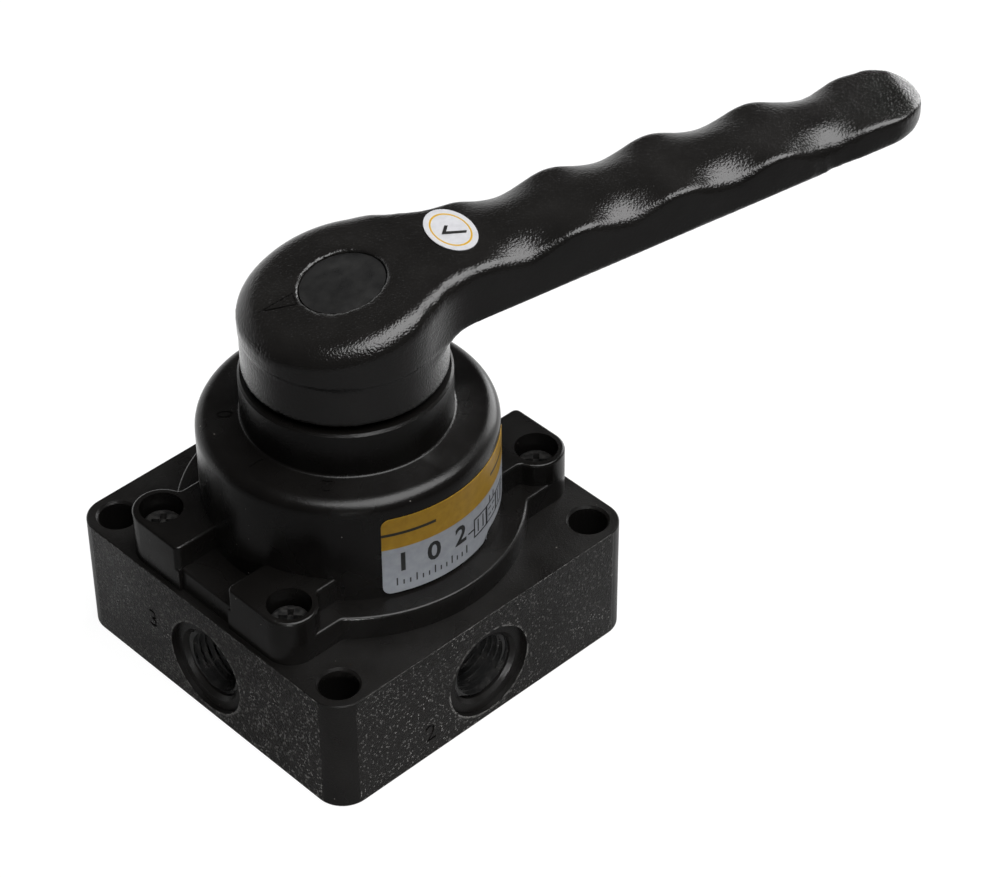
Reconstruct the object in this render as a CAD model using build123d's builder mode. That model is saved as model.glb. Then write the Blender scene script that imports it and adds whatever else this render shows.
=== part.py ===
from build123d import *
from math import acos, atan2, cos, degrees, radians, sin, tan
import os

# Hand lever air valve: a four-port rotary disc valve under a die-cast cover, turned by a cranked grip.
# Millimetres. The origin is the centre of the mounting face, +Z runs up the stem, and X lies across the
# wide sides of the cover flange. The lever stands at rest_angle, between its middle and an end position.

os.makedirs("parts", exist_ok=True)

# ---------------------------------------------------------------- driving dimensions
# body block
body_side = 70.0
body_height = 24.3
body_corner = 5.4
body_edge = 0.4
mount_pitch = 59.0
mount_hole_d = 7.0
mount_chamfer = 0.4
port_height = 10.9
port_bore_d = 13.16
port_bore_depth = 12.0
port_face_d = 18.3
port_face_depth = 1.0
port_chamfer = 0.7
passage_d = 5.6
feed_d = 4.0
feed_radius = 19.2
seat_recess_d = 49.0
seat_recess_depth = 1.5
seat_pitch_radius = 11.0

# cover casting
screw_spacing_x = 57.9
screw_spacing_y = 33.8
ear_radius = 5.1
ear_height = 9.5
ear_inner_y = 6.5
ear_web_y = 18.0
ear_corner = 1.2
web_inset = 0.7
flange_radius = 31.0
flange_thickness = 4.7
cover_edge = 0.5
dome_radius = 26.4
dome_height = 25.7
dome_fillet = 2.6
neck_radius = 18.5
neck_height = 8.9
neck_wall = 3.1
neck_cup_depth = 7.4
neck_fillet = 0.5
neck_edge = 0.4
chamber_radius = 22.8
dome_wall = 4.0
bush_boss_radius = 10.5
bush_boss_length = 5.0
spigot_length = 1.4

# screws that hold the cover
screw_recess_d = 7.8
screw_recess_depth = 6.7
screw_thread_d = 4.0
screw_hole_d = 4.4
screw_head_d = 7.0
screw_head_height = 2.6
screw_length = 16.0
screw_tip_gap = 1.0
lock_washer_thickness = 0.9
lock_washer_d = 6.8
phillips_width = 1.1
phillips_depth = 1.3

# seals
cover_seal_land = 2.4
seal_section_d = 1.5
seat_seal_radius = 4.2
seat_seal_section_d = 1.3
stem_seal_section_d = 1.6

# stem, bush and valve disc
stem_d = 12.0
stem_square = 8.4
stem_flange_d = 28.0
stem_flange_thickness = 3.5
bush_d = 16.0
thrust_thickness = 1.0
thrust_d = 20.0
disc_d = 32.0
disc_thickness = 7.0
disc_port_d = 5.0
disc_slot_depth = 3.2
spring_mean_radius = 5.5
spring_wire_d = 1.2
spring_turns = 4
disc_pocket_depth = 2.0
stem_pocket_depth = 1.5
drive_pin_d = 3.0
drive_pin_depth = 3.6

# lever casting
rest_angle = -25.0
lever_turn = 45.0
boss_gap = 1.1
boss_d = 30.0
skirt_d = 36.0
skirt_gap = 1.1
skirt_height = 8.3
parting_step = 0.12
hub_draft = 0.5
hub_lead = 10.0
grip_first = 21.0
grip_pitch = 18.0
grip_count = 4
grip_half_first = 10.0
grip_half_last = 8.4
grip_draft = 0.2
scoop_depth = 3.7
scoop_drop = 5.6
tip_radius = 7.8
tip_centre = 96.0
under_rise = 4.9
hub_height = 17.2
tip_depth = 4.5
hub_slope = 11.5
grip_slope = 8.1
top_round = 2.6
under_round = 1.0
gusset_radius = 5.0
lever_seat_rise = 6.0
stem_short = 1.0
counterbore_d = 12.4
pointer_depth = 0.4
pointer_tip = 15.0
pointer_base = 8.4
pointer_width = 3.2

# lever fixing and cap
cap_d = 14.9
cap_thickness = 2.0
cap_sink = 0.5
cap_crown = 0.35
lever_screw_d = 5.0
lever_screw_head_d = 8.5
lever_screw_head_height = 3.5
lever_screw_reach = 12.5
lever_screw_hex = 3.0
flat_washer_d = 11.0
flat_washer_thickness = 1.0
spring_washer_d = 8.8
spring_washer_thickness = 1.2

# detents in the lever hub
ball_d = 5.0
detent_radius = 10.5
detent_bore_depth = 12.0
detent_wire_d = 0.6
detent_spring_turns = 6
dimple_depth = 0.8

# labels
label_thickness = 0.12
label_gap = 0.6
label_height = 16.7
label_corner = 1.6
label_notch_length = 12.5
label_notch_height = 1.6
label_start_angle = -120.0
label_sweep_angle = 77.0
sticker_length = 13.0
sticker_width = 7.2
sticker_station = 19.9
sticker_offset = 2.2
sticker_turn = 105.0

# clearances
running_gap = 0.05
slip_gap = 0.1
face_gap = 0.02
cut_margin = 2.0

# ---------------------------------------------------------------- places worked out from the sizes
body_half = body_side / 2
seat_height = body_height - seat_recess_depth
cover_seal_radius = seat_recess_d / 2 + cover_seal_land
disc_bottom = seat_height + running_gap
disc_top = disc_bottom + disc_thickness
flange_top = body_height + flange_thickness
ear_top = body_height + ear_height
dome_top = body_height + dome_height
chamber_top = dome_top - dome_wall
bush_boss_bottom = chamber_top - bush_boss_length
neck_top = dome_top + neck_height
neck_floor = neck_top - neck_cup_depth
thrust_top = bush_boss_bottom - running_gap
stem_flange_top = thrust_top - thrust_thickness
stem_flange_bottom = stem_flange_top - stem_flange_thickness
recess_floor = ear_top - screw_recess_depth
head_seat = recess_floor + lock_washer_thickness
neck_bore_radius = neck_radius - neck_wall
ball_centre = neck_floor + face_gap + ball_d / 2
boss_bottom = neck_floor + boss_gap
detent_bore_top = boss_bottom + detent_bore_depth
skirt_bottom = neck_top + skirt_gap
skirt_top = skirt_bottom + skirt_height
under_height = skirt_bottom + under_rise
top_height = skirt_bottom + hub_height
lever_seat = skirt_bottom + lever_seat_rise
stem_top = lever_seat - stem_short
label_bottom = flange_top + label_gap

ports = {"1": 0, "2": -90, "3": 180, "4": 90}
detents = {"front": -90, "rear": 90}


def turned(height, slope=0.0):
    """Plane at this height whose x axis runs out along the lever and climbs at the slope."""
    x_dir = Vector(1, 0, 0).rotate(Axis.Y, -slope).rotate(Axis.Z, rest_angle)
    z_dir = Vector(0, 0, 1).rotate(Axis.Y, -slope).rotate(Axis.Z, rest_angle)
    return Plane(origin=(0, 0, height), x_dir=x_dir, z_dir=z_dir)


def facing(angle, height):
    """Plane on the side face that looks out at this angle, with its x axis level."""
    out = Vector(1, 0, 0).rotate(Axis.Z, angle)
    return Plane(origin=out * body_half + Vector(0, 0, height), x_dir=out.rotate(Axis.Z, 90), z_dir=out)


side_view = Plane(origin=(0, 0, 0), x_dir=turned(0).x_dir, z_dir=turned(0).x_dir.rotate(Axis.Z, -90))

# ---------------------------------------------------------------- valve body
with BuildPart() as valve_body:
    with BuildSketch():
        RectangleRounded(body_side, body_side, body_corner)
    extrude(amount=body_height)
    chamfer(valve_body.faces().sort_by(Axis.Z)[0].edges(), body_edge)
    chamfer(valve_body.faces().sort_by(Axis.Z)[-1].edges(), body_edge / 2)
    # shallow recess that locates the cover, and the seal groove round it
    with BuildSketch(Plane.XY.offset(body_height)):
        Circle(seat_recess_d / 2)
    extrude(amount=-seat_recess_depth, mode=Mode.SUBTRACT)
    with BuildSketch(Plane.XY.offset(body_height)):
        Circle(cover_seal_radius + seal_section_d / 2 + slip_gap)
        Circle(cover_seal_radius - seal_section_d / 2 - slip_gap, mode=Mode.SUBTRACT)
    extrude(amount=-seal_section_d, mode=Mode.SUBTRACT)
    # four mounting holes, countersunk a little at both ends
    with Locations(Plane.XY.offset(body_height)):
        with GridLocations(mount_pitch, mount_pitch, 2, 2):
            CounterSinkHole(mount_hole_d / 2, mount_hole_d / 2 + mount_chamfer, depth=body_height)
    # tapped holes for the cover screws
    with Locations(Plane.XY.offset(body_height)):
        with GridLocations(screw_spacing_x, screw_spacing_y, 2, 2):
            Hole(screw_thread_d / 2, depth=body_height - head_seat + screw_length + screw_tip_gap)
    # one port in the middle of each side, with a machined face round its mouth
    for angle in ports.values():
        with Locations(facing(angle, port_height)):
            CounterBoreHole(port_bore_d / 2, port_face_d / 2, port_face_depth, depth=port_bore_depth)
        with Locations(facing(angle, port_height).offset(-port_face_depth)):
            Cone(port_bore_d / 2, port_bore_d / 2 + port_chamfer, port_chamfer,
                 align=(Align.CENTER, Align.CENTER, Align.MAX), mode=Mode.SUBTRACT)
    # drilled ways from the ports to the seat: exhaust to the middle, supply outside the disc
    for name, reach, width in (("1", feed_radius, feed_d), ("2", seat_pitch_radius, passage_d),
                               ("3", 0.0, passage_d), ("4", seat_pitch_radius, passage_d)):
        out = Vector(1, 0, 0).rotate(Axis.Z, ports[name])
        with BuildSketch(facing(ports[name], port_height).offset(-port_bore_depth + face_gap)):
            Circle(width / 2)
        extrude(amount=-(body_half - port_bore_depth - reach) - width / 2, mode=Mode.SUBTRACT)
        with BuildSketch(Plane.XY.offset(seat_height)):
            with Locations((out * reach)):
                Circle(width / 2)
        extrude(amount=-(seat_height - port_height), mode=Mode.SUBTRACT)
    # ring grooves in the seat face
    with BuildSketch(Plane.XY.offset(seat_height)):
        with Locations((0, 0), (0, seat_pitch_radius), (0, -seat_pitch_radius)):
            Circle(seat_seal_radius + seat_seal_section_d / 2 + face_gap)
            Circle(seat_seal_radius - seat_seal_section_d / 2 - face_gap, mode=Mode.SUBTRACT)
    extrude(amount=-seat_seal_section_d, mode=Mode.SUBTRACT)
valve_body.part.label = "valve_body"
export_step(valve_body.part, "parts/valve_body.step")

# ---------------------------------------------------------------- seals in the body
with BuildPart() as cover_seal:
    with BuildSketch(Plane.XZ):
        with Locations((cover_seal_radius, body_height - seal_section_d / 2)):
            Circle(seal_section_d / 2 - face_gap)
    revolve(axis=Axis.Z)
cover_seal.part.label = "cover_seal"
export_step(cover_seal.part, "parts/cover_seal.step")

with BuildPart() as seat_seals:
    for y in (0, seat_pitch_radius, -seat_pitch_radius):
        with BuildSketch(Plane.XZ.offset(-y)):
            with Locations((seat_seal_radius, seat_height - seat_seal_section_d / 2)):
                Circle(seat_seal_section_d / 2 - face_gap)
        revolve(axis=Axis((0, y, 0), (0, 0, 1)))
seat_seals.part.label = "seat_seals"
export_step(seat_seals.part, "parts/seat_seals.step")

# ---------------------------------------------------------------- cover
ear_x = screw_spacing_x / 2 + ear_radius
ear_y = screw_spacing_y / 2 + ear_radius
with BuildPart() as flange_plate:
    # a disc, and a bar that runs out to the two pairs of ears
    with BuildSketch(Plane.XY.offset(body_height)):
        RectangleRounded(2 * ear_x, 2 * ear_y, ear_radius - face_gap)
        with Locations((ear_x, 0), (-ear_x, 0)):
            Rectangle(2 * web_inset, 2 * ear_inner_y, mode=Mode.SUBTRACT)
        Circle(flange_radius)
    extrude(amount=flange_thickness)
    hollows = flange_plate.edges().filter_by(Axis.Z).filter_by(
        lambda edge: abs(edge.center().X) < screw_spacing_x / 2 - ear_corner)
    fillet(hollows, ear_corner)
    fillet(flange_plate.faces().sort_by(Axis.Z)[-1].edges(), cover_edge)

with BuildPart() as ears:
    # a round tower at each screw, webbed back to the dome
    with BuildSketch(Plane.XY.offset(body_height)):
        with GridLocations(screw_spacing_x, screw_spacing_y, 2, 2):
            Circle(ear_radius)
        for side in (1, -1):
            for end in (1, -1):
                for outer_x, outer_y in ((ear_x, screw_spacing_y / 2), (screw_spacing_x / 2, ear_web_y)):
                    with Locations((side * outer_x, end * ear_inner_y)):
                        Rectangle(outer_x - dome_radius / 2, outer_y - ear_inner_y,
                                  align=(Align.MAX if side > 0 else Align.MIN,
                                         Align.MIN if end > 0 else Align.MAX))
    extrude(amount=ear_height)
    corners = ears.edges().filter_by(Axis.Z).filter_by(
        lambda edge: abs(edge.center().X) > (dome_radius + ear_corner) / 2
        and min(abs(abs(edge.center().Y) - ear_inner_y), abs(abs(edge.center().Y) - ear_web_y)) < face_gap)
    fillet(corners, ear_corner)
    fillet(ears.faces().group_by(Axis.Z)[-1].edges(), cover_edge)

with BuildPart() as valve_cover:
    add(flange_plate.part)
    add(ears.part)
    # dome and neck
    with BuildSketch(Plane.XY.offset(body_height)):
        Circle(dome_radius)
    extrude(amount=dome_height)
    fillet(valve_cover.faces().sort_by(Axis.Z)[-1].edges(), dome_fillet)
    with BuildSketch(Plane.XY.offset(dome_top - dome_fillet)):
        Circle(neck_radius)
    extrude(amount=neck_height + dome_fillet)
    root = valve_cover.edges().filter_by(GeomType.CIRCLE).filter_by(
        lambda edge: abs(edge.radius - neck_radius) < 0.001 and abs(edge.arc_center.Z - dome_top) < 0.001)
    fillet(root, neck_fillet)
    chamfer(valve_cover.faces().sort_by(Axis.Z)[-1].edges(), neck_edge)
    # locating spigot
    with BuildSketch(Plane.XY.offset(body_height)):
        Circle(seat_recess_d / 2 - slip_gap)
    extrude(amount=-spigot_length)
    # pressure chamber with the bush boss left hanging in it
    with BuildSketch(Plane.XY.offset(body_height - spigot_length)):
        Circle(chamber_radius)
    extrude(amount=chamber_top - body_height + spigot_length, mode=Mode.SUBTRACT)
    with BuildSketch(Plane.XY.offset(bush_boss_bottom)):
        Circle(bush_boss_radius)
    extrude(amount=chamber_top - bush_boss_bottom)
    # cup of the neck and the bush bore
    with BuildSketch(Plane.XY.offset(neck_top)):
        Circle(neck_bore_radius)
    extrude(amount=neck_floor - neck_top, mode=Mode.SUBTRACT)
    with BuildSketch(Plane.XY.offset(bush_boss_bottom)):
        Circle(bush_d / 2 + face_gap)
    extrude(amount=neck_floor - bush_boss_bottom, mode=Mode.SUBTRACT)
    # detent dimples at the middle and both end positions
    for start in detents.values():
        for turn in (-lever_turn, 0, lever_turn):
            spot = Vector(detent_radius, 0, 0).rotate(Axis.Z, start + turn)
            with Locations((spot.X, spot.Y, neck_floor + ball_d / 2 - dimple_depth)):
                Sphere(ball_d / 2, mode=Mode.SUBTRACT)
    # deep screw recesses
    with Locations(Plane.XY.offset(ear_top)):
        with GridLocations(screw_spacing_x, screw_spacing_y, 2, 2):
            CounterBoreHole(screw_hole_d / 2, screw_recess_d / 2, screw_recess_depth,
                            depth=ear_top - body_height)
valve_cover.part.label = "valve_cover"
export_step(valve_cover.part, "parts/valve_cover.step")

# ---------------------------------------------------------------- cover screws and their lock washers
with BuildPart() as cover_screws:
    with GridLocations(screw_spacing_x, screw_spacing_y, 2, 2) as places:
        spots = [place.position for place in places]
    for spot in spots:
        with BuildSketch(Plane.XY.offset(head_seat)):
            with Locations((spot.X, spot.Y)):
                Circle(screw_head_d / 2)
        extrude(amount=screw_head_height)
    fillet(cover_screws.faces().group_by(Axis.Z)[-1].edges(), screw_head_height / 3)
    for spot in spots:
        with BuildSketch(Plane.XY.offset(head_seat)):
            with Locations((spot.X, spot.Y)):
                Circle(screw_thread_d / 2 - running_gap)
        extrude(amount=-screw_length)
        with BuildSketch(Plane.XY.offset(head_seat + screw_head_height)):
            with Locations((spot.X, spot.Y)):
                Rectangle(screw_thread_d, phillips_width, rotation=45)
                Rectangle(phillips_width, screw_thread_d, rotation=45)
        extrude(amount=-phillips_depth, mode=Mode.SUBTRACT)
cover_screws.part.label = "cover_screws"
export_step(cover_screws.part, "parts/cover_screws.step")

with BuildPart() as cover_lock_washers:
    with BuildSketch(Plane.XY.offset(recess_floor)):
        with GridLocations(screw_spacing_x, screw_spacing_y, 2, 2):
            Circle(lock_washer_d / 2)
            Circle(screw_thread_d / 2 + slip_gap, mode=Mode.SUBTRACT)
            with Locations((screw_thread_d / 2, 0)):
                Rectangle(screw_thread_d, spring_wire_d / 2, mode=Mode.SUBTRACT)
    extrude(amount=lock_washer_thickness)
cover_lock_washers.part.label = "cover_lock_washers"
export_step(cover_lock_washers.part, "parts/cover_lock_washers.step")

# ---------------------------------------------------------------- stem bush
with BuildPart() as stem_bush:
    with BuildSketch(Plane.XY.offset(bush_boss_bottom)):
        Circle(bush_d / 2)
        Circle(stem_d / 2 + running_gap, mode=Mode.SUBTRACT)
    extrude(amount=neck_floor - bush_boss_bottom)
    chamfer(stem_bush.edges().filter_by(GeomType.CIRCLE).group_by(SortBy.RADIUS)[0], body_edge)
stem_bush.part.label = "stem_bush"
export_step(stem_bush.part, "parts/stem_bush.step")

# ---------------------------------------------------------------- stem
seal_groove = (bush_boss_bottom + neck_floor) / 2
with BuildPart() as stem:
    with BuildSketch(Plane.XY.offset(stem_flange_bottom)):
        Circle(stem_flange_d / 2)
    extrude(amount=stem_flange_thickness)
    chamfer(stem.edges().filter_by(GeomType.CIRCLE), body_edge)
    with BuildSketch(Plane.XY.offset(stem_flange_top)):
        Circle(stem_d / 2)
    extrude(amount=boss_bottom - stem_flange_top)
    with BuildSketch(turned(boss_bottom)):
        Rectangle(stem_square, stem_square)
    extrude(amount=stem_top - boss_bottom)
    chamfer(stem.faces().sort_by(Axis.Z)[-1].edges(), body_edge)
    # groove for the seal ring
    with BuildSketch(Plane.XY.offset(seal_groove - stem_seal_section_d / 2)):
        Circle(stem_d / 2)
        Circle(stem_d / 2 - stem_seal_section_d, mode=Mode.SUBTRACT)
    extrude(amount=stem_seal_section_d, mode=Mode.SUBTRACT)
    # tapped hole for the lever screw, spring pocket and drive pin holes
    with Locations(Plane.XY.offset(stem_top)):
        Hole(lever_screw_d / 2, depth=lever_screw_reach + slip_gap)
    with BuildSketch(Plane.XY.offset(stem_flange_bottom)):
        Circle(spring_mean_radius + spring_wire_d)
    extrude(amount=stem_pocket_depth, mode=Mode.SUBTRACT)
    with BuildSketch(turned(stem_flange_bottom)):
        with Locations((0, seat_pitch_radius), (0, -seat_pitch_radius)):
            Circle(drive_pin_d / 2 + face_gap)
    extrude(amount=stem_flange_thickness, mode=Mode.SUBTRACT)
stem.part.label = "stem"
export_step(stem.part, "parts/stem.step")

with BuildPart() as stem_seal:
    with BuildSketch(Plane.XZ):
        with Locations((stem_d / 2 - stem_seal_section_d / 2, seal_groove)):
            Circle(stem_seal_section_d / 2 - face_gap)
    revolve(axis=Axis.Z)
stem_seal.part.label = "stem_seal"
export_step(stem_seal.part, "parts/stem_seal.step")

with BuildPart() as thrust_washer:
    with BuildSketch(Plane.XY.offset(stem_flange_top)):
        Circle(thrust_d / 2)
        Circle(stem_d / 2 + slip_gap, mode=Mode.SUBTRACT)
    extrude(amount=thrust_thickness)
thrust_washer.part.label = "thrust_washer"
export_step(thrust_washer.part, "parts/thrust_washer.step")

# ---------------------------------------------------------------- valve disc, its spring and drive pins
with BuildPart() as valve_disc:
    with BuildSketch(Plane.XY.offset(disc_bottom)):
        Circle(disc_d / 2)
    extrude(amount=disc_thickness)
    chamfer(valve_disc.edges().filter_by(GeomType.CIRCLE), body_edge)
    # supply holes on the side away from the grip
    with BuildSketch(turned(disc_bottom)):
        with PolarLocations(seat_pitch_radius, 2, start_angle=180 - lever_turn, angular_range=4 * lever_turn):
            Circle(disc_port_d / 2)
    extrude(amount=disc_thickness, mode=Mode.SUBTRACT)
    # two exhaust slots in the underside, from the middle out to the port circle
    for turn in (-lever_turn, lever_turn):
        with BuildSketch(turned(disc_bottom)):
            slot_end = Vector(seat_pitch_radius, 0).rotate(Axis.Z, turn)
            SlotCenterPoint(slot_end / 2, slot_end, disc_port_d)
        extrude(amount=disc_slot_depth, mode=Mode.SUBTRACT)
    # spring pocket and drive pin holes in the top
    with BuildSketch(Plane.XY.offset(disc_top)):
        Circle(spring_mean_radius + spring_wire_d)
    extrude(amount=-disc_pocket_depth, mode=Mode.SUBTRACT)
    with BuildSketch(turned(disc_top)):
        with Locations((0, seat_pitch_radius), (0, -seat_pitch_radius)):
            Circle(drive_pin_d / 2 + slip_gap)
    extrude(amount=-drive_pin_depth - slip_gap, mode=Mode.SUBTRACT)
valve_disc.part.label = "valve_disc"
export_step(valve_disc.part, "parts/valve_disc.step")

with BuildPart() as drive_pins:
    with BuildSketch(turned(disc_top - drive_pin_depth)):
        with Locations((0, seat_pitch_radius), (0, -seat_pitch_radius)):
            Circle(drive_pin_d / 2)
    extrude(amount=stem_flange_top - disc_top + drive_pin_depth)
drive_pins.part.label = "drive_pins"
export_step(drive_pins.part, "parts/drive_pins.step")


def coil(radius, wire, turns, bottom, top, centre):
    """Closed-length compression spring between two heights."""
    start = bottom + wire / 2 + face_gap
    height = top - wire / 2 - face_gap - start
    with BuildPart(mode=Mode.PRIVATE) as spring:
        with BuildLine():
            Helix(height / turns, height, radius, center=(centre.X, centre.Y, start))
        with BuildSketch(Plane(origin=(centre.X + radius, centre.Y, start), z_dir=(0, 1, 0))):
            Circle(wire / 2)
        sweep(is_frenet=True)
    return spring.part


with BuildPart() as disc_spring:
    add(coil(spring_mean_radius, spring_wire_d, spring_turns, disc_top - disc_pocket_depth,
             stem_flange_bottom + stem_pocket_depth, Vector(0, 0, 0)))
disc_spring.part.label = "disc_spring"
export_step(disc_spring.part, "parts/disc_spring.step")


# ---------------------------------------------------------------- lever
def grip_outline(hub_radius, first_half, last_half, tip, stretch):
    """Hub arc, a straight side that runs in to it on a hollow curve, the round tip and the mirrored side."""
    reach = (grip_first ** 2 + first_half ** 2) ** 0.5
    hub_turn = degrees(atan2(first_half, grip_first) + acos(hub_radius / reach)) - hub_lead
    start = Vector(hub_radius, 0, 0).rotate(Axis.Z, hub_turn)
    away = start.rotate(Axis.Z, -90).normalized()
    knee = Vector(grip_first * stretch, first_half)
    shoulder = Vector(tip_centre * stretch, last_half)
    along = (shoulder - knee).normalized()
    with BuildSketch(Plane.XY, mode=Mode.PRIVATE) as outline:
        with BuildLine():
            ThreePointArc((start.X, start.Y), (-hub_radius, 0), (start.X, -start.Y))
            for flip in (1, -1):
                Spline((start.X, flip * start.Y), (knee.X, flip * knee.Y),
                       tangents=((away.X, flip * away.Y), (along.X, flip * along.Y)))
                Line((knee.X, flip * knee.Y), (shoulder.X, flip * shoulder.Y))
            ThreePointArc((shoulder.X, shoulder.Y), (shoulder.X + tip, 0), (shoulder.X, -shoulder.Y))
        make_face()
    return outline.sketch


skirt_radius = skirt_d / 2
loft_top = top_height + 2 * hub_draft + top_round + cut_margin
grip_end = tip_centre + tip_radius
side_reach = skirt_radius + parting_step + hub_draft + cut_margin
knee_height = top_height + grip_first * tan(radians(hub_slope))
grip_rise = tan(radians(grip_slope))
under_fall = (knee_height + (tip_centre - grip_first) * grip_rise - tip_depth - under_height) / tip_centre
under_slope = degrees(atan2(under_fall, 1))
heel = Vector(-side_reach, top_height - side_reach * tan(radians(hub_slope)))
nose_reach = grip_end + grip_draft + cut_margin
nose = Vector(nose_reach, knee_height + (nose_reach - grip_first) * grip_rise)


def scoop(station, side):
    """Ball that hollows one finger place out of the grip's upper edge, from bump to bump."""
    half = grip_pitch / 2
    share = (station - grip_first) / (tip_centre - grip_first)
    edge = grip_half_first + (grip_half_last - grip_half_first) * share
    out = (half ** 2 - scoop_depth ** 2) / (2 * scoop_depth)
    over = (half ** 2 - scoop_drop ** 2) / (2 * scoop_drop)
    height = knee_height + (station - grip_first) * grip_rise
    with BuildPart(mode=Mode.PRIVATE) as ball:
        with Locations(turned(height).offset(over)):
            with Locations((station, side * (edge + out))):
                Sphere((half ** 2 + out ** 2 + over ** 2) ** 0.5)
    return ball.part


# the web that rounds the corner under the grip, where it leaves the skirt
web_reach = skirt_radius + gusset_radius
web_centre = under_height + web_reach * under_fall - gusset_radius / cos(radians(under_slope))
web_end = (web_reach - gusset_radius * sin(radians(under_slope)),
           web_centre + gusset_radius * cos(radians(under_slope)))
with BuildPart() as grip_web:
    with BuildSketch(side_view):
        with BuildLine():
            TangentArc((skirt_radius, web_centre), web_end, tangent=(0, 1))
            Polyline(web_end, (web_end[0], web_end[1] + under_round),
                     (skirt_radius - under_round, web_end[1] + under_round),
                     (skirt_radius - under_round, web_centre), (skirt_radius, web_centre))
        make_face()
    revolve(axis=Axis.Z)
    with BuildSketch(turned(skirt_bottom)):
        add(grip_outline(skirt_radius, grip_half_first - grip_draft, grip_half_last - grip_draft,
                         tip_radius - grip_draft, 1.0))
    extrude(amount=hub_height, mode=Mode.INTERSECT)

with BuildPart() as lever:
    # hub and grip between a lower and a slightly wider upper outline, as the casting's draft leaves them
    with BuildSketch(turned(under_height, under_slope)):
        add(grip_outline(skirt_radius + parting_step, grip_half_first - grip_draft,
                         grip_half_last - grip_draft, tip_radius - grip_draft,
                         1 / cos(radians(under_slope))))
    with BuildSketch(turned(loft_top, grip_slope)):
        add(grip_outline(skirt_radius + parting_step + hub_draft, grip_half_first + grip_draft,
                         grip_half_last + grip_draft, tip_radius + grip_draft, 1 / cos(radians(grip_slope))))
    loft(ruled=True)
    under = lever.faces().filter_by(GeomType.PLANE).sort_by(Axis.Z)[0]
    fillet(under.edges(), under_round)
    # crowned top, seen from the side, down to the level top of the skirt
    with BuildSketch(side_view.offset(-side_reach)):
        with BuildLine():
            Spline(heel, (0, top_height), (grip_first, knee_height), nose)
            Polyline(nose, (nose.X, skirt_top), (heel.X, skirt_top), heel)
        make_face()
    extrude(amount=2 * side_reach, mode=Mode.INTERSECT)
    crown = lever.faces().filter_by(GeomType.EXTRUSION).sort_by(SortBy.AREA)[-1]
    fillet(crown.edges(), top_round)
    # finger places along both sides
    for number in range(grip_count):
        for side in (1, -1):
            add(scoop(grip_first + grip_pitch * (number + 0.5), side), mode=Mode.SUBTRACT)
    # skirt, boss and web
    with BuildSketch(turned(skirt_bottom)):
        Circle(skirt_radius)
    extrude(amount=skirt_top - skirt_bottom + running_gap)
    add(grip_web.part)
    with BuildSketch(turned(boss_bottom)):
        Circle(boss_d / 2)
    extrude(amount=skirt_bottom - boss_bottom + running_gap)
    # square hole for the stem, counterbore for the screw, tilted recess for the cap
    with BuildSketch(turned(boss_bottom)):
        Rectangle(stem_square + 2 * slip_gap, stem_square + 2 * slip_gap)
    extrude(amount=lever_seat - boss_bottom, mode=Mode.SUBTRACT)
    with BuildSketch(turned(lever_seat)):
        Circle(counterbore_d / 2)
    extrude(amount=top_height - lever_seat + cap_thickness, mode=Mode.SUBTRACT)
    with BuildSketch(turned(top_height, hub_slope).offset(-cap_sink - cap_thickness)):
        Circle(cap_d / 2 + slip_gap)
    extrude(amount=cap_thickness + top_round, mode=Mode.SUBTRACT)
    # upright bores for the detent springs and balls
    with BuildSketch(turned(boss_bottom)):
        with Locations((0, detent_radius), (0, -detent_radius)):
            Circle(ball_d / 2 + running_gap)
    extrude(amount=detent_bore_depth, mode=Mode.SUBTRACT)
    # pointer sunk in the hub, opposite the grip
    with BuildSketch(turned(top_height, hub_slope).offset(-pointer_depth)):
        with BuildLine():
            Polyline((-pointer_tip, 0), (-pointer_base, pointer_width / 2),
                     (-pointer_base, -pointer_width / 2), close=True)
        make_face()
    extrude(amount=top_round, mode=Mode.SUBTRACT)
lever.part.label = "lever"
export_step(lever.part, "parts/lever.step")

# ---------------------------------------------------------------- lever fixing
with BuildPart() as flat_washer:
    with BuildSketch(Plane.XY.offset(lever_seat)):
        Circle(flat_washer_d / 2)
        Circle(lever_screw_d / 2 + slip_gap, mode=Mode.SUBTRACT)
    extrude(amount=flat_washer_thickness)
flat_washer.part.label = "flat_washer"
export_step(flat_washer.part, "parts/flat_washer.step")

spring_washer_seat = lever_seat + flat_washer_thickness
with BuildPart() as spring_washer:
    with BuildSketch(Plane.XY.offset(spring_washer_seat)):
        Circle(spring_washer_d / 2)
        Circle(lever_screw_d / 2 + slip_gap, mode=Mode.SUBTRACT)
        with Locations((spring_washer_d / 2, 0)):
            Rectangle(spring_washer_d / 2, spring_washer_thickness / 2, mode=Mode.SUBTRACT)
    extrude(amount=spring_washer_thickness)
spring_washer.part.label = "spring_washer"
export_step(spring_washer.part, "parts/spring_washer.step")

lever_head_seat = spring_washer_seat + spring_washer_thickness
with BuildPart() as lever_screw:
    with BuildSketch(Plane.XY.offset(lever_head_seat)):
        Circle(lever_screw_head_d / 2)
    extrude(amount=lever_screw_head_height)
    fillet(lever_screw.faces().sort_by(Axis.Z)[-1].edges(), lever_screw_head_height / 3)
    with BuildSketch(Plane.XY.offset(lever_head_seat)):
        Circle(lever_screw_d / 2 - running_gap)
    extrude(amount=stem_top - lever_screw_reach - lever_head_seat)
    with BuildSketch(Plane.XY.offset(lever_head_seat + lever_screw_head_height)):
        RegularPolygon(lever_screw_hex / 2, 6, major_radius=False)
    extrude(amount=-lever_screw_head_height / 2, mode=Mode.SUBTRACT)
lever_screw.part.label = "lever_screw"
export_step(lever_screw.part, "parts/lever_screw.step")

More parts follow.
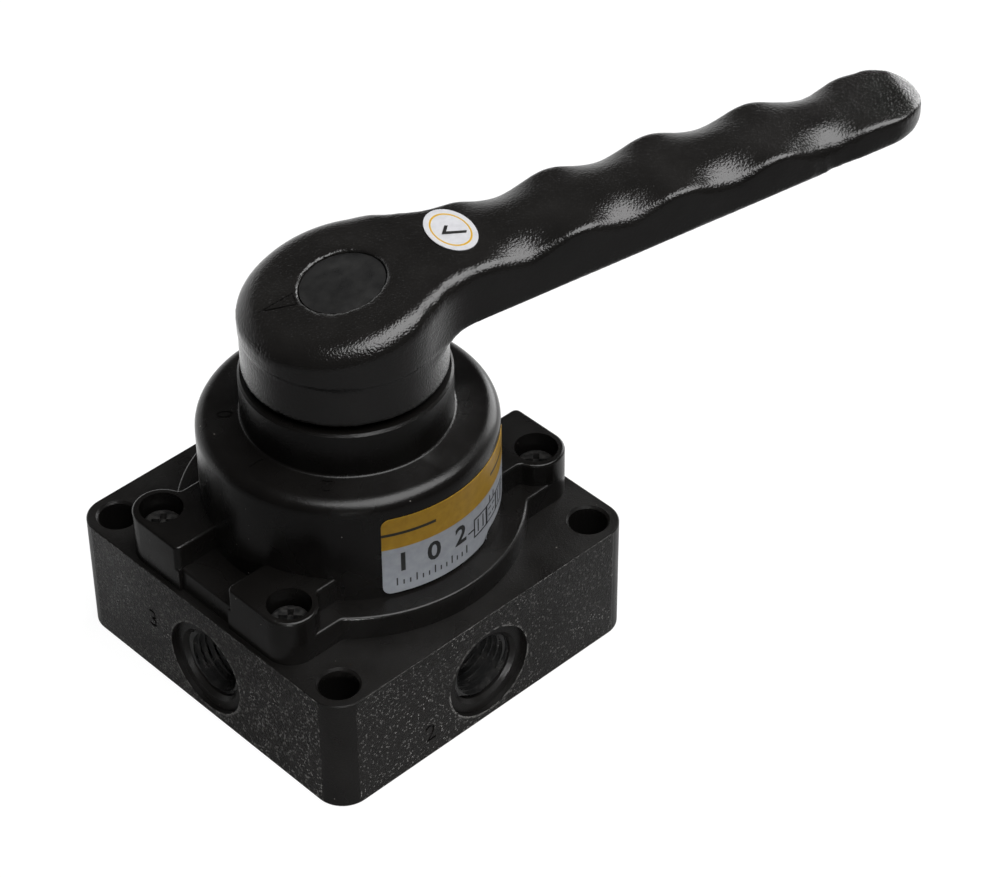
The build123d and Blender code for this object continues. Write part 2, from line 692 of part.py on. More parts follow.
cap_floor = turned(top_height, hub_slope).offset(-cap_sink - cap_thickness)
crown_radius = ((cap_d / 2) ** 2 + cap_crown ** 2) / (2 * cap_crown)
with BuildPart() as lever_cap:
    with BuildSketch(cap_floor):
        Circle(cap_d / 2)
    extrude(amount=cap_thickness + 2 * cap_crown)
    with Locations(cap_floor.offset(cap_thickness + cap_crown - crown_radius)):
        Sphere(crown_radius, mode=Mode.INTERSECT)
lever_cap.part.label = "lever_cap"
export_step(lever_cap.part, "parts/lever_cap.step")

# ---------------------------------------------------------------- detent balls and springs
detent_coil_radius = ball_d / 2 - detent_wire_d / 2 - slip_gap
coil_seat = ((ball_d + detent_wire_d) ** 2 / 4 - detent_coil_radius ** 2) ** 0.5 - detent_wire_d / 2
for side, turn in detents.items():
    spot = turned(0).x_dir.rotate(Axis.Z, turn) * detent_radius
    with BuildPart() as detent_ball:
        with Locations((spot.X, spot.Y, ball_centre)):
            Sphere(ball_d / 2)
    detent_ball.part.label = "detent_ball_" + side
    export_step(detent_ball.part, "parts/detent_ball_" + side + ".step")
    with BuildPart() as detent_spring:
        add(coil(detent_coil_radius, detent_wire_d, detent_spring_turns, ball_centre + coil_seat,
                 detent_bore_top, spot))
    detent_spring.part.label = "detent_spring_" + side
    export_step(detent_spring.part, "parts/detent_spring_" + side + ".step")

# ---------------------------------------------------------------- labels
with BuildPart() as dome_label:
    with BuildSketch(Plane.XY.offset(label_bottom)):
        with BuildLine():
            wall = dome_radius + face_gap
            inner = CenterArc((0, 0), wall, label_start_angle, label_sweep_angle)
            outer = CenterArc((0, 0), wall + label_thickness, label_start_angle, label_sweep_angle)
            Line(inner @ 0, outer @ 0)
            Line(inner @ 1, outer @ 1)
        make_face()
    extrude(amount=label_height)
    # a step at the lower right, and round corners
    notch_angle = degrees(label_notch_length / dome_radius)
    notch_start = label_start_angle + label_sweep_angle - notch_angle
    with BuildSketch(Plane.XY.offset(label_bottom)):
        with BuildLine():
            notch_in = CenterArc((0, 0), dome_radius - cut_margin, notch_start, 2 * notch_angle)
            notch_out = CenterArc((0, 0), dome_radius + cut_margin, notch_start, 2 * notch_angle)
            Line(notch_in @ 0, notch_out @ 0)
            Line(notch_in @ 1, notch_out @ 1)
        make_face()
    extrude(amount=label_notch_height, mode=Mode.SUBTRACT)
    short = dome_label.edges().filter_by(lambda edge: edge.length < 2 * label_thickness)
    fillet([edge for edge in short if min(abs(edge.center().X - (outer @ end).X) for end in (0, 1))
            < label_thickness], label_corner)
dome_label.part.label = "dome_label"
export_step(dome_label.part, "parts/dome_label.step")

with BuildPart() as check_sticker:
    with BuildSketch(side_view.offset(-side_reach)):
        with BuildLine():
            lift = Vector(0, face_gap)
            under_side = Spline(heel + lift, Vector(0, top_height) + lift,
                                Vector(grip_first, knee_height) + lift, nose + lift)
            lift = Vector(0, face_gap + label_thickness)
            upper_side = Spline(heel + lift, Vector(0, top_height) + lift,
                                Vector(grip_first, knee_height) + lift, nose + lift)
            Line(under_side @ 0, upper_side @ 0)
            Line(under_side @ 1, upper_side @ 1)
        make_face()
    extrude(amount=2 * side_reach)
    with BuildSketch(turned(top_height)):
        with Locations((sticker_station, sticker_offset)):
            Ellipse(sticker_length / 2, sticker_width / 2, rotation=sticker_turn)
    extrude(amount=2 * side_reach, mode=Mode.INTERSECT)
check_sticker.part.label = "check_sticker"
export_step(check_sticker.part, "parts/check_sticker.step")
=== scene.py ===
import math

import bpy
from mathutils import Matrix, Vector


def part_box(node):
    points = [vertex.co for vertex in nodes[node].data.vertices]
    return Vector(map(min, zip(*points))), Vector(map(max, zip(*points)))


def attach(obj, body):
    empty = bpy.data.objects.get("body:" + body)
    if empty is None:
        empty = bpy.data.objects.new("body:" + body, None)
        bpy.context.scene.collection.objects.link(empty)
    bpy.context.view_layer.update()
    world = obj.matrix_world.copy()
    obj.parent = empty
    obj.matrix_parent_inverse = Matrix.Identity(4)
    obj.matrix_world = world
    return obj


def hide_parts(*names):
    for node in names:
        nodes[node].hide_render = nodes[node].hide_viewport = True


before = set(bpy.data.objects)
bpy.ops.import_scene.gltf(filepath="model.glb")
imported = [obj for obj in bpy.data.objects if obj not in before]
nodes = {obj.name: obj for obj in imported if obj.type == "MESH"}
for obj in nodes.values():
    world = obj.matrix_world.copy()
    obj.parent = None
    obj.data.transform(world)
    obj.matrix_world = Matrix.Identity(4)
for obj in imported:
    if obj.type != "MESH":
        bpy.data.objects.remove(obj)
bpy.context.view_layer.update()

# ---------------------------------------------------------------- valve body casting
# The square base is a zinc die casting, drilled and tapped on its four sides and painted satin black.
# Its sides keep the sandy skin of the die under the paint; its top is milled flat before painting.

bpy.ops.object.select_all(action="DESELECT")
MM = 0.001
BODY_HALF = 35 * MM
PORT_HEIGHT = 10.9 * MM
SPOTFACE_RADIUS = 9.3 * MM
TOP_EDGE = 24.25 * MM


def new_finish(name, roughness=0.5, specular=0.5, metallic=0.0):
    """A material with a Principled shader, its node tree and the Object coordinates of the piece."""
    finish = bpy.data.materials.new(name)
    finish.use_nodes = True
    tree = finish.node_tree
    tree.nodes.clear()
    shader = tree.nodes.new("ShaderNodeBsdfPrincipled")
    shader.inputs["Roughness"].default_value = roughness
    shader.inputs["Specular IOR Level"].default_value = specular
    shader.inputs["Metallic"].default_value = metallic
    output = tree.nodes.new("ShaderNodeOutputMaterial")
    tree.links.new(shader.outputs["BSDF"], output.inputs["Surface"])
    place = tree.nodes.new("ShaderNodeTexCoord")
    return finish, tree, shader, place


def noise(tree, where, size, detail=2.0, distortion=0.0):
    """Cloudy noise with grains of the given size in metres."""
    node = tree.nodes.new("ShaderNodeTexNoise")
    node.inputs["Scale"].default_value = 1.0 / size
    node.inputs["Detail"].default_value = detail
    node.inputs["Distortion"].default_value = distortion
    tree.links.new(where, node.inputs["Vector"])
    return node.outputs["Fac"]


def spread(tree, value, low, high, to_low=0.0, to_high=1.0):
    """Stretches a value from low..high to to_low..to_high, and stops at both ends."""
    node = tree.nodes.new("ShaderNodeMapRange")
    node.inputs["From Min"].default_value = low
    node.inputs["From Max"].default_value = high
    node.inputs["To Min"].default_value = to_low
    node.inputs["To Max"].default_value = to_high
    tree.links.new(value, node.inputs["Value"])
    return node.outputs["Result"]


def blend_colours(tree, share, first, second):
    """The first colour where share is 0 and the second where it is 1; each is a colour or a socket."""
    node = tree.nodes.new("ShaderNodeMix")
    node.data_type = "RGBA"
    tree.links.new(share, node.inputs["Factor"])
    for slot_name, colour in (("A", first), ("B", second)):
        socket = [s for s in node.inputs if s.name == slot_name and s.type == "RGBA"][0]
        if isinstance(colour, tuple):
            socket.default_value = (*colour, 1.0)
        else:
            tree.links.new(colour, socket)
    return [s for s in node.outputs if s.type == "RGBA"][0]


def calculate(tree, operation, first, second):
    """One step of arithmetic; each value is a number or a socket."""
    node = tree.nodes.new("ShaderNodeMath")
    node.operation = operation
    for slot_number, value in enumerate((first, second)):
        if isinstance(value, (int, float)):
            node.inputs[slot_number].default_value = value
        else:
            tree.links.new(value, node.inputs[slot_number])
    return node.outputs[0]


def relief(tree, shader, height, depth):
    """Bumps of the given depth in metres, laid over any bump that the shader already has."""
    node = tree.nodes.new("ShaderNodeBump")
    node.inputs["Distance"].default_value = depth
    tree.links.new(height, node.inputs["Height"])
    old = shader.inputs["Normal"].links
    if old:
        tree.links.new(old[0].from_socket, node.inputs["Normal"])
    tree.links.new(node.outputs["Normal"], shader.inputs["Normal"])


def dust(tree, where, spacing, size):
    """1 on sparse round specks, which one cell in five carries, and 0 elsewhere."""
    cells = tree.nodes.new("ShaderNodeTexVoronoi")
    cells.inputs["Scale"].default_value = 1.0 / spacing
    tree.links.new(where, cells.inputs["Vector"])
    speck = spread(tree, cells.outputs["Distance"], size / spacing, 0.6 * size / spacing)
    chosen = tree.nodes.new("ShaderNodeSeparateColor")
    tree.links.new(cells.outputs["Color"], chosen.inputs["Color"])
    rare = spread(tree, chosen.outputs["Red"], 0.80, 0.82)
    return calculate(tree, "MULTIPLY", speck, rare)


def smooth_copy(node_name, piece_name, body, finish, angle=30):
    """A CAD node's surface with its loose triangles joined and shaded smooth across shallow edges."""
    piece = nodes[node_name].copy()
    piece.data = nodes[node_name].data.copy()
    piece.name = piece_name
    piece.data.name = piece_name
    piece.parent = None
    for key in list(piece.keys()):
        del piece[key]
    bpy.context.scene.collection.objects.link(piece)
    bpy.ops.object.select_all(action="DESELECT")
    piece.select_set(True)
    bpy.context.view_layer.objects.active = piece
    bpy.ops.object.mode_set(mode="EDIT")
    bpy.ops.mesh.select_all(action="SELECT")
    bpy.ops.mesh.remove_doubles(threshold=1e-6)
    bpy.ops.object.mode_set(mode="OBJECT")
    if piece.data.has_custom_normals:
        bpy.ops.mesh.customdata_custom_splitnormals_clear()
    bpy.ops.object.shade_smooth_by_angle(angle=math.radians(angle))
    piece.data.materials.clear()
    piece.data.materials.append(finish)
    bpy.ops.object.select_all(action="DESELECT")
    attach(piece, body)
    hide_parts(node_name)
    return piece


def cast_paint(name, skin_size, skin_depth, roughness, colour, painted_glint_colour):
    """Satin black paint over a cast skin, rough on the body's four sides and finer elsewhere; the sides carry
    painted sheen and painted glints, and their port rims and top edge a painted highlight.
    """
    finish, tree, shader, place = new_finish(name, roughness, 0.3)
    where = place.outputs["Object"]
    spot = tree.nodes.new("ShaderNodeSeparateXYZ")
    tree.links.new(where, spot.inputs["Vector"])
    reach = [calculate(tree, "ABSOLUTE", spot.outputs[axis], 0.0) for axis in "XY"]
    farthest = calculate(tree, "MAXIMUM", *reach)
    side = spread(tree, farthest, BODY_HALF - 0.1 * MM, BODY_HALF - 0.05 * MM)
    skin = noise(tree, where, skin_size, 1.0, 1.2)
    cloud = noise(tree, where, 9 * MM, 2.0)
    dusty = dust(tree, where, 2.6 * MM, 0.15 * MM)
    # bright specks on the sides stand in for glints of light: painted glints
    painted_glint_specks = dust(tree, where, 1.1 * skin_size, 0.62 * skin_size)
    painted_highlight_share = calculate(tree, "MULTIPLY", painted_glint_specks, side)
    # the spotface rims and the upper edge of the sides get grains of painted highlight along their edges
    along = calculate(tree, "MINIMUM", *reach)
    rise = calculate(tree, "SUBTRACT", spot.outputs["Z"], PORT_HEIGHT)
    squares = [calculate(tree, "POWER", part, 2.0) for part in (along, rise)]
    from_port = calculate(tree, "SQRT", calculate(tree, "ADD", *squares), 0.0)
    rim = calculate(tree, "SUBTRACT", from_port, SPOTFACE_RADIUS)
    ring = spread(tree, calculate(tree, "ABSOLUTE", rim, 0.0), 0.35 * MM, 0.12 * MM)
    edge = spread(tree, spot.outputs["Z"], TOP_EDGE - 0.2 * MM, TOP_EDGE)
    painted_edge_highlight = calculate(tree, "MULTIPLY", calculate(tree, "MAXIMUM", ring, edge), side)
    painted_edge_grain = spread(tree, noise(tree, where, 1.1 * MM, 3.0), 0.46, 0.54)
    painted_highlight_share = calculate(tree, "MAXIMUM", painted_highlight_share, calculate(tree, "MULTIPLY", painted_edge_highlight, painted_edge_grain))
    # the sides are painted twice as light as the top as painted sheen of their sandy skin, and the painted
    # glints and edge highlights are laid over that
    painted_side_sheen = blend_colours(tree, side, colour, tuple(2.0 * part for part in colour))
    wear_and_painted_glint = blend_colours(tree, painted_highlight_share, painted_side_sheen, painted_glint_colour)
    haze = spread(tree, cloud, 0.3, 0.7, 0.0, 0.35)
    clouded = blend_colours(tree, haze, wear_and_painted_glint, tuple(1.7 * part for part in colour))
    tinted = blend_colours(tree, dusty, clouded, (0.16, 0.15, 0.14))
    gloss = spread(tree, cloud, 0.3, 0.7, roughness - 0.05, roughness + 0.08)
    tree.links.new(tinted, shader.inputs["Base Color"])
    tree.links.new(gloss, shader.inputs["Roughness"])
    depth = calculate(tree, "MULTIPLY", skin, spread(tree, side, 0.0, 1.0, 0.16, 1.0))
    relief(tree, shader, depth, skin_depth)
    return finish


def apply_modifier(piece, kind, **settings):
    """Adds a modifier with these settings and applies it."""
    bpy.context.view_layer.objects.active = piece
    modifier = piece.modifiers.new(kind.lower(), kind)
    for setting, value in settings.items():
        setattr(modifier, setting, value)
    bpy.ops.object.modifier_apply(modifier=modifier.name)


def plain_figures(characters, size, thickness, place, weight=0.0):
    """Plain figures, centred, made a mesh and then put in place; weight makes their strokes fatter."""
    bpy.ops.object.text_add(location=(0, 0, 0))
    figures = bpy.context.object
    figures.data.body = characters
    figures.data.size = size
    figures.data.align_x = "CENTER"
    figures.data.align_y = "CENTER"
    figures.data.resolution_u = 3
    figures.data.extrude = thickness / 2
    figures.data.offset = weight
    bpy.ops.object.convert(target="MESH")
    figures = bpy.context.object
    bpy.ops.object.mode_set(mode="EDIT")
    bpy.ops.mesh.select_all(action="SELECT")
    bpy.ops.mesh.remove_doubles(threshold=0.0005 * MM)
    bpy.ops.object.mode_set(mode="OBJECT")
    figures.data.transform(place)
    return figures


def engrave(piece, characters, size, depth, place):
    """Cuts plain figures into a piece; their place is on its surface, and their z axis points out."""
    cutter = plain_figures(characters, size, 2 * depth, place)
    bpy.ops.object.select_all(action="DESELECT")
    piece.select_set(True)
    apply_modifier(piece, "BOOLEAN", object=cutter, operation="DIFFERENCE", solver="EXACT")
    bpy.data.objects.remove(cutter)
    bpy.ops.object.shade_smooth_by_angle(angle=math.radians(30))
    bpy.ops.object.select_all(action="DESELECT")


body_paint = cast_paint("body_paint", 0.37 * MM, 0.24 * MM, 0.30,
                        (0.005, 0.0046, 0.0043), (0.13, 0.127, 0.122))
body_casting = smooth_copy("valve_body", "body_casting", "valve", body_paint)
PORT_FIGURE_SIZE = 5.5 * MM
PORT_FIGURE_DEPTH = 0.25 * MM
PORT_FIGURE_OFFSET = 14 * MM
UPRIGHT = Matrix.Rotation(math.pi / 2, 4, "X")
for figure, turn, height in (("2", 0, 5.5), ("3", -90, 13), ("4", 180, 13), ("1", 90, 13)):
    to_side = Matrix.Rotation(math.radians(turn), 4, "Z")
    on_side = Matrix.Translation((-PORT_FIGURE_OFFSET, -BODY_HALF, height * MM))
    engrave(body_casting, figure, PORT_FIGURE_SIZE, PORT_FIGURE_DEPTH, to_side @ on_side @ UPRIGHT)

# ---------------------------------------------------------------- port threads
# Each side port is tapped with a parallel pipe thread after painting and blacked again.
# One helix is turned about an upright axis, sliced flush at the mouth and copied to the four sides.

THREAD_PITCH = 1.337 * MM
THREAD_ROOT = 6.58 * MM
THREAD_CREST = 5.75 * MM
THREAD_SUNK = 0.06 * MM
PORT_MOUTH = 33.9 * MM
THREAD_LENGTH = 11.0 * MM


def dress(piece, name, body, finish, angle=30):
    """Names a finished piece, shades it, gives it its finish and fixes it to its body."""
    bpy.ops.object.select_all(action="DESELECT")
    piece.select_set(True)
    bpy.context.view_layer.objects.active = piece
    bpy.ops.object.transform_apply(location=True, rotation=True, scale=True)
    bpy.ops.object.shade_smooth_by_angle(angle=math.radians(angle))
    piece.name = name
    piece.data.name = name
    piece.data.materials.clear()
    piece.data.materials.append(finish)
    bpy.ops.object.select_all(action="DESELECT")
    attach(piece, body)
    return piece


def thread_finish():
    """Blacked metal as the tap leaves it, brighter than the paint and streaked along the cut."""
    finish, tree, shader, place = new_finish("cut_thread", 0.25, 0.8)
    streak = noise(tree, place.outputs["Object"], 1.6 * MM, 2.0)
    wear_and_painted_glint = spread(tree, streak, 0.45, 0.75)
    tint = blend_colours(tree, wear_and_painted_glint, (0.012, 0.012, 0.012), (0.03, 0.029, 0.028))
    tree.links.new(tint, shader.inputs["Base Color"])
    tree.links.new(spread(tree, streak, 0.3, 0.7, 0.2, 0.28), shader.inputs["Roughness"])
    relief(tree, shader, streak, 0.01 * MM)
    return finish


bpy.ops.mesh.primitive_plane_add(size=1.0, location=(0, 0, 0))
thread = bpy.context.object
profile = ((THREAD_ROOT + THREAD_SUNK, -0.46), (THREAD_ROOT + THREAD_SUNK, 0.46),
           (THREAD_CREST, -0.09), (THREAD_CREST, 0.09))
for vertex, (radius, along) in zip(thread.data.vertices, profile):
    vertex.co = (radius, 0, along * THREAD_PITCH)
turns = thread.modifiers.new("turns", "SCREW")
turns.angle = math.tau
turns.screw_offset = THREAD_PITCH
turns.iterations = int(THREAD_LENGTH / THREAD_PITCH) + 1
turns.steps = turns.render_steps = 48
turns.use_merge_vertices = False
bpy.ops.object.modifier_apply(modifier="turns")
bpy.ops.object.mode_set(mode="EDIT")
bpy.ops.mesh.select_mode(type="EDGE")
bpy.ops.mesh.select_all(action="SELECT")
bpy.ops.mesh.bisect(plane_co=(0, 0, 0.5 * THREAD_PITCH), plane_no=(0, 0, 1), clear_inner=True)
bpy.ops.mesh.select_all(action="SELECT")
bpy.ops.mesh.bisect(plane_co=(0, 0, THREAD_LENGTH), plane_no=(0, 0, 1), clear_outer=True)
bpy.ops.mesh.select_all(action="SELECT")
bpy.ops.mesh.remove_doubles(threshold=0.001 * MM)
bpy.ops.mesh.select_all(action="DESELECT")
bpy.ops.mesh.select_non_manifold()
bpy.ops.mesh.fill()
bpy.ops.mesh.select_all(action="SELECT")
bpy.ops.mesh.normals_make_consistent(inside=False)
bpy.ops.transform.rotate(value=math.pi / 2, orient_axis="Y", center_override=(0, 0, 0))
bpy.ops.transform.translate(value=(PORT_MOUTH, 0, PORT_HEIGHT))
bpy.ops.object.mode_set(mode="OBJECT")
thread_black = thread_finish()
for number in range(4):
    piece = thread if number == 0 else thread.copy()
    if number:
        piece.data = thread.data.copy()
        bpy.context.scene.collection.objects.link(piece)
    piece.data.transform(Matrix.Rotation(-math.pi / 2 if number else 0, 4, "Z"))
    thread = piece
    dress(piece, "port_thread_%d" % (number + 1), "valve", thread_black, 25)

# ---------------------------------------------------------------- inner pieces
# Cover and lever hide these: rubber rings, the lapped disc with its spring and pins, the steel stem
# in its bronze bush with a polymer thrust washer, and the sprung steel balls of the two detents.


def plain_finish(name, dark, light, grain_size, roughness, metallic, depth):
    """A finish that wanders between two near colours, with fine relief."""
    finish, tree, shader, place = new_finish(name, roughness, metallic=metallic)
    wander = noise(tree, place.outputs["Object"], grain_size, 3.0)
    tint = blend_colours(tree, spread(tree, wander, 0.35, 0.65), dark, light)
    tree.links.new(tint, shader.inputs["Base Color"])
    span = spread(tree, wander, 0.3, 0.7, roughness - 0.06, roughness + 0.06)
    tree.links.new(span, shader.inputs["Roughness"])
    relief(tree, shader, wander, depth)
    return finish


def finish_nodes(names, finish):
    """Gives the finish to pieces that stay as they are."""
    for name in names:
        nodes[name].data.materials.clear()
        nodes[name].data.materials.append(finish)


rubber = plain_finish("nitrile_rubber", (0.010, 0.010, 0.011), (0.018, 0.018, 0.018),
                      1.2 * MM, 0.62, 0.0, 0.02 * MM)
bronze = plain_finish("sintered_bronze", (0.36, 0.21, 0.09), (0.48, 0.30, 0.14),
                      0.25 * MM, 0.42, 1.0, 0.03 * MM)
steel = plain_finish("ground_steel", (0.46, 0.46, 0.45), (0.60, 0.60, 0.59),
                     0.5 * MM, 0.26, 1.0, 0.008 * MM)
alloy = plain_finish("lapped_alloy", (0.42, 0.42, 0.43), (0.55, 0.55, 0.56),
                     0.7 * MM, 0.34, 1.0, 0.01 * MM)
polymer = plain_finish("white_polymer", (0.70, 0.69, 0.66), (0.78, 0.77, 0.74),
                       1.5 * MM, 0.45, 0.0, 0.02 * MM)
black_steel = plain_finish("black_steel", (0.02, 0.02, 0.02), (0.06, 0.058, 0.056),
                           0.8 * MM, 0.36, 0.6, 0.02 * MM)
finish_nodes(("cover_seal", "seat_seals", "stem_seal"), rubber)
finish_nodes(("stem_bush",), bronze)
finish_nodes(("thrust_washer",), polymer)
finish_nodes(("valve_disc",), alloy)
finish_nodes(("stem", "drive_pins", "disc_spring"), steel)
finish_nodes(("detent_spring_front", "detent_spring_rear", "detent_ball_front", "detent_ball_rear"), steel)

# ---------------------------------------------------------------- valve cover casting
# The domed cover is a second casting that bolts to the body and carries the stem.
# It is painted the same black, and its skin is a little finer than the body's sides.

DOME_FIGURE_SIZE = 4.2 * MM
DOME_FIGURE_DEPTH = 0.2 * MM
DOME_FIGURE_RADIUS = 20.9 * MM
DOME_TOP = 50 * MM
cover_paint = cast_paint("cover_paint", 0.40 * MM, 0.16 * MM, 0.24,
                         (0.0045, 0.0041, 0.0038), (0.009, 0.0085, 0.008))
cover_casting = smooth_copy("valve_cover", "cover_casting", "valve", cover_paint)
for figure, azimuth in (("0", 142), ("1", -178.6), ("2", -141.5)):
    to_azimuth = Matrix.Rotation(math.radians(azimuth - 90), 4, "Z")
    on_dome = Matrix.Translation((0, DOME_FIGURE_RADIUS, DOME_TOP))
    engrave(cover_casting, figure, DOME_FIGURE_SIZE, DOME_FIGURE_DEPTH, to_azimuth @ on_dome)

# ---------------------------------------------------------------- cover screws
# Four cross-recessed pan head screws with split washers hold the cover on the body.
# They sit deep in its ears, and both are blacked steel.

smooth_copy("cover_screws", "cover_screw_set", "valve", black_steel)
smooth_copy("cover_lock_washers", "lock_washer_set", "valve", black_steel)

# ---------------------------------------------------------------- lever
# The hub and the finger grip are one aluminium casting with a thick gloss black paint.
# The paint has an orange peel skin that breaks each highlight into grains.


def lever_paint_finish():
    """Thick gloss paint: fine peel on slow waves, faintly clouded, with a little dust on it."""
    finish, tree, shader, place = new_finish("lever_paint", 0.22, 0.5)
    where = place.outputs["Object"]
    peel = noise(tree, where, 0.38 * MM, 1.0)
    wave = noise(tree, where, 2.6 * MM, 1.0)
    cloud = noise(tree, where, 9 * MM, 2.0)
    dusty = dust(tree, where, 5.0 * MM, 0.14 * MM)
    haze = spread(tree, cloud, 0.3, 0.7)
    tone = blend_colours(tree, haze, (0.0075, 0.007, 0.0066), (0.0105, 0.0098, 0.0092))
    tree.links.new(blend_colours(tree, dusty, tone, (0.22, 0.21, 0.20)), shader.inputs["Base Color"])
    tree.links.new(spread(tree, cloud, 0.3, 0.7, 0.17, 0.23), shader.inputs["Roughness"])
    relief(tree, shader, wave, 0.02 * MM)
    relief(tree, shader, peel, 0.085 * MM)
    return finish


def cast_over(piece, grain, passes):
    """Melts the surface into even small faces and smooths it, so its corners soften as cast."""
    apply_modifier(piece, "REMESH", mode="VOXEL", voxel_size=grain, adaptivity=0.0)
    if passes:
        apply_modifier(piece, "SMOOTH", factor=0.5, iterations=passes)


REST_TURN = Matrix.Rotation(math.radians(-25), 4, "Z")
LEVER_GRAIN = 0.45 * MM
HUB_RADIUS = 18.6 * MM
HUB_END = 9 * MM
HUB_ROLL = 4.6 * MM
GRIP_ROLL = 1.3 * MM
ROLL_DEPTH = 7.5 * MM
RIM_DEPTH = 1.2 * MM
RIM_END = 17 * MM
RUN_IN_START = 6 * MM
LONG_RUN_IN = 22 * MM
SHORT_RUN_IN = 10 * MM
GRIP_FIRST = 21 * MM
GRIP_LAST = 93 * MM
GRIP_PITCH = 18 * MM
SCOOP_DROP = 2.7 * MM
SCOOP_START = 0.2
TIP_PLACE = 96 * MM
TIP_RADIUS = 8.6 * MM
PARTING_HEIGHT = 68.3 * MM
PARTING_RADIUS = 17.3 * MM
PARTING_SHRINK = 0.992
HUB_SLOPE = math.radians(11.5)
HUB_TOP = 77.2 * MM
CAP_RADIUS = 7.45 * MM
CAP_CLEARANCE = 0.17 * MM
POINTER_TIP = 15.1 * MM
POINTER_BASE = 8.3 * MM
POINTER_HALF_WIDTH = 1.7 * MM
POINTER_DEPTH = 0.35 * MM
POINTER_LINE = 0.32 * MM

lever_paint = lever_paint_finish()
lever = smooth_copy("lever", "lever_casting", "rotor", lever_paint, 40)
lever.data.transform(REST_TURN.inverted())
cast_over(lever, LEVER_GRAIN, 0)

# the crown line and the half width, read every half millimetre along the melted casting
STEP = 0.5 * MM
crown = {}
width = {}
for vertex in lever.data.vertices:
    along, across, height = vertex.co
    station = round(along / STEP)
    if 2 * MM < abs(across) < 3.5 * MM and vertex.normal.z > 0.9 and abs(along) > HUB_END:
        crown.setdefault(station, []).append(height)
    if height > PARTING_HEIGHT:
        width[station] = max(width.get(station, 0), abs(across))
crown_line = sorted((station * STEP, sum(heights) / len(heights)) for station, heights in crown.items())


def crown_height(along):
    """Height of the lever's top on its middle line, straight between the read places.

    Over the hub's bore and short of it, the slope of its first four millimetres is carried on.
    """
    after = next((n for n, (place, height) in enumerate(crown_line) if place > along), len(crown_line) - 1)
    after = max(after, 1)
    if after == 1:
        first, second = crown_line[1], crown_line[9]
    else:
        first, second = crown_line[after - 1], crown_line[after]
    share = (along - first[0]) / (second[0] - first[0])
    return first[1] + share * (second[1] - first[1])


def top_height(along, across):
    """Height of the lever's top: the crown, rolled over at its edge and dropped in each finger place."""
    half = width.get(round(along / STEP), HUB_RADIUS)
    inside = half - abs(across)
    if along < HUB_END:
        inside = HUB_RADIUS - math.hypot(along, across)
    if along > TIP_PLACE:
        inside = TIP_RADIUS - math.hypot(along - TIP_PLACE, across)
    # the wide roll of the hub narrows to the grip's, slowly on one side and sooner on the other
    run_in = LONG_RUN_IN if across < 0 else SHORT_RUN_IN
    toward_grip = min(max((along - RUN_IN_START) / run_in, 0), 1)
    roll = HUB_ROLL + (GRIP_ROLL - HUB_ROLL) * toward_grip
    over = max(roll - max(inside, 0), 0)
    edge_drop = roll - math.sqrt(roll * roll - over * over)
    wave = 0.0
    if GRIP_FIRST < along < GRIP_LAST:
        wave = 0.5 - 0.5 * math.cos(math.tau * (along - GRIP_FIRST) / GRIP_PITCH)
    outward = min(max((abs(across) - SCOOP_START * half) / ((1 - SCOOP_START) * half), 0), 1)
    return crown_height(along) - edge_drop - SCOOP_DROP * wave * outward * outward


# the top is moved to its height; the hub's bore and all that lies well below the crown stay
upward = [vertex.normal.z for vertex in lever.data.vertices]
for vertex, facing in zip(lever.data.vertices, upward):
    along, across, height = vertex.co
    drop = crown_height(along) - height
    if math.hypot(along, across) < CAP_RADIUS + 0.3 * MM or drop > ROLL_DEPTH or height < PARTING_HEIGHT + MM:
        continue
    target = top_height(along, across)
    on_top = facing > 0.2 or (drop < RIM_DEPTH and along < RIM_END)
    vertex.co.z = target if on_top else min(height, target)
cast_over(lever, LEVER_GRAIN, 5)

# the die's two halves part round the skirt, whose lower half is a little smaller
for vertex in lever.data.vertices:
    if vertex.co.z < PARTING_HEIGHT and math.hypot(vertex.co.x, vertex.co.y) > PARTING_RADIUS:
        vertex.co.x *= PARTING_SHRINK
        vertex.co.y *= PARTING_SHRINK

# the cap's recess and the thin outline of the pointer are cut after the paint's round edges are there
tilt = Matrix.Rotation(-HUB_SLOPE, 4, "Y")
tilt.translation = (0, 0, HUB_TOP)
bpy.ops.mesh.primitive_cylinder_add(vertices=96, radius=CAP_RADIUS + CAP_CLEARANCE, depth=6 * MM,
                                    location=(0, 0, 0.5 * MM))
recess_cutter = bpy.context.object
bpy.ops.mesh.primitive_circle_add(vertices=3, radius=1.0, fill_type="NGON", location=(0, 0, 0))
pointer_cutter = bpy.context.object
corners = ((-POINTER_TIP, 0), (-POINTER_BASE, -POINTER_HALF_WIDTH), (-POINTER_BASE, POINTER_HALF_WIDTH))
for vertex, (along, across) in zip(pointer_cutter.data.vertices, corners):
    vertex.co = (along, across, -POINTER_DEPTH)
bpy.ops.object.mode_set(mode="EDIT")
bpy.ops.mesh.select_all(action="SELECT")
bpy.ops.mesh.inset(thickness=POINTER_LINE)
bpy.ops.mesh.delete(type="FACE")
bpy.ops.mesh.select_all(action="SELECT")
bpy.ops.mesh.extrude_region_move(TRANSFORM_OT_translate={"value": (0, 0, 2 * MM)})
bpy.ops.mesh.select_all(action="SELECT")
bpy.ops.mesh.normals_make_consistent(inside=False)
bpy.ops.object.mode_set(mode="OBJECT")
for cutter in (recess_cutter, pointer_cutter):
    bpy.ops.object.select_all(action="DESELECT")
    cutter.select_set(True)
    bpy.context.view_layer.objects.active = cutter
    bpy.ops.object.transform_apply(location=True, rotation=True, scale=True)
    cutter.data.transform(tilt)
    apply_modifier(lever, "BOOLEAN", object=cutter, operation="DIFFERENCE", solver="EXACT")
    bpy.data.objects.remove(cutter)
lever.data.transform(REST_TURN)
bpy.ops.object.select_all(action="DESELECT")
lever.select_set(True)
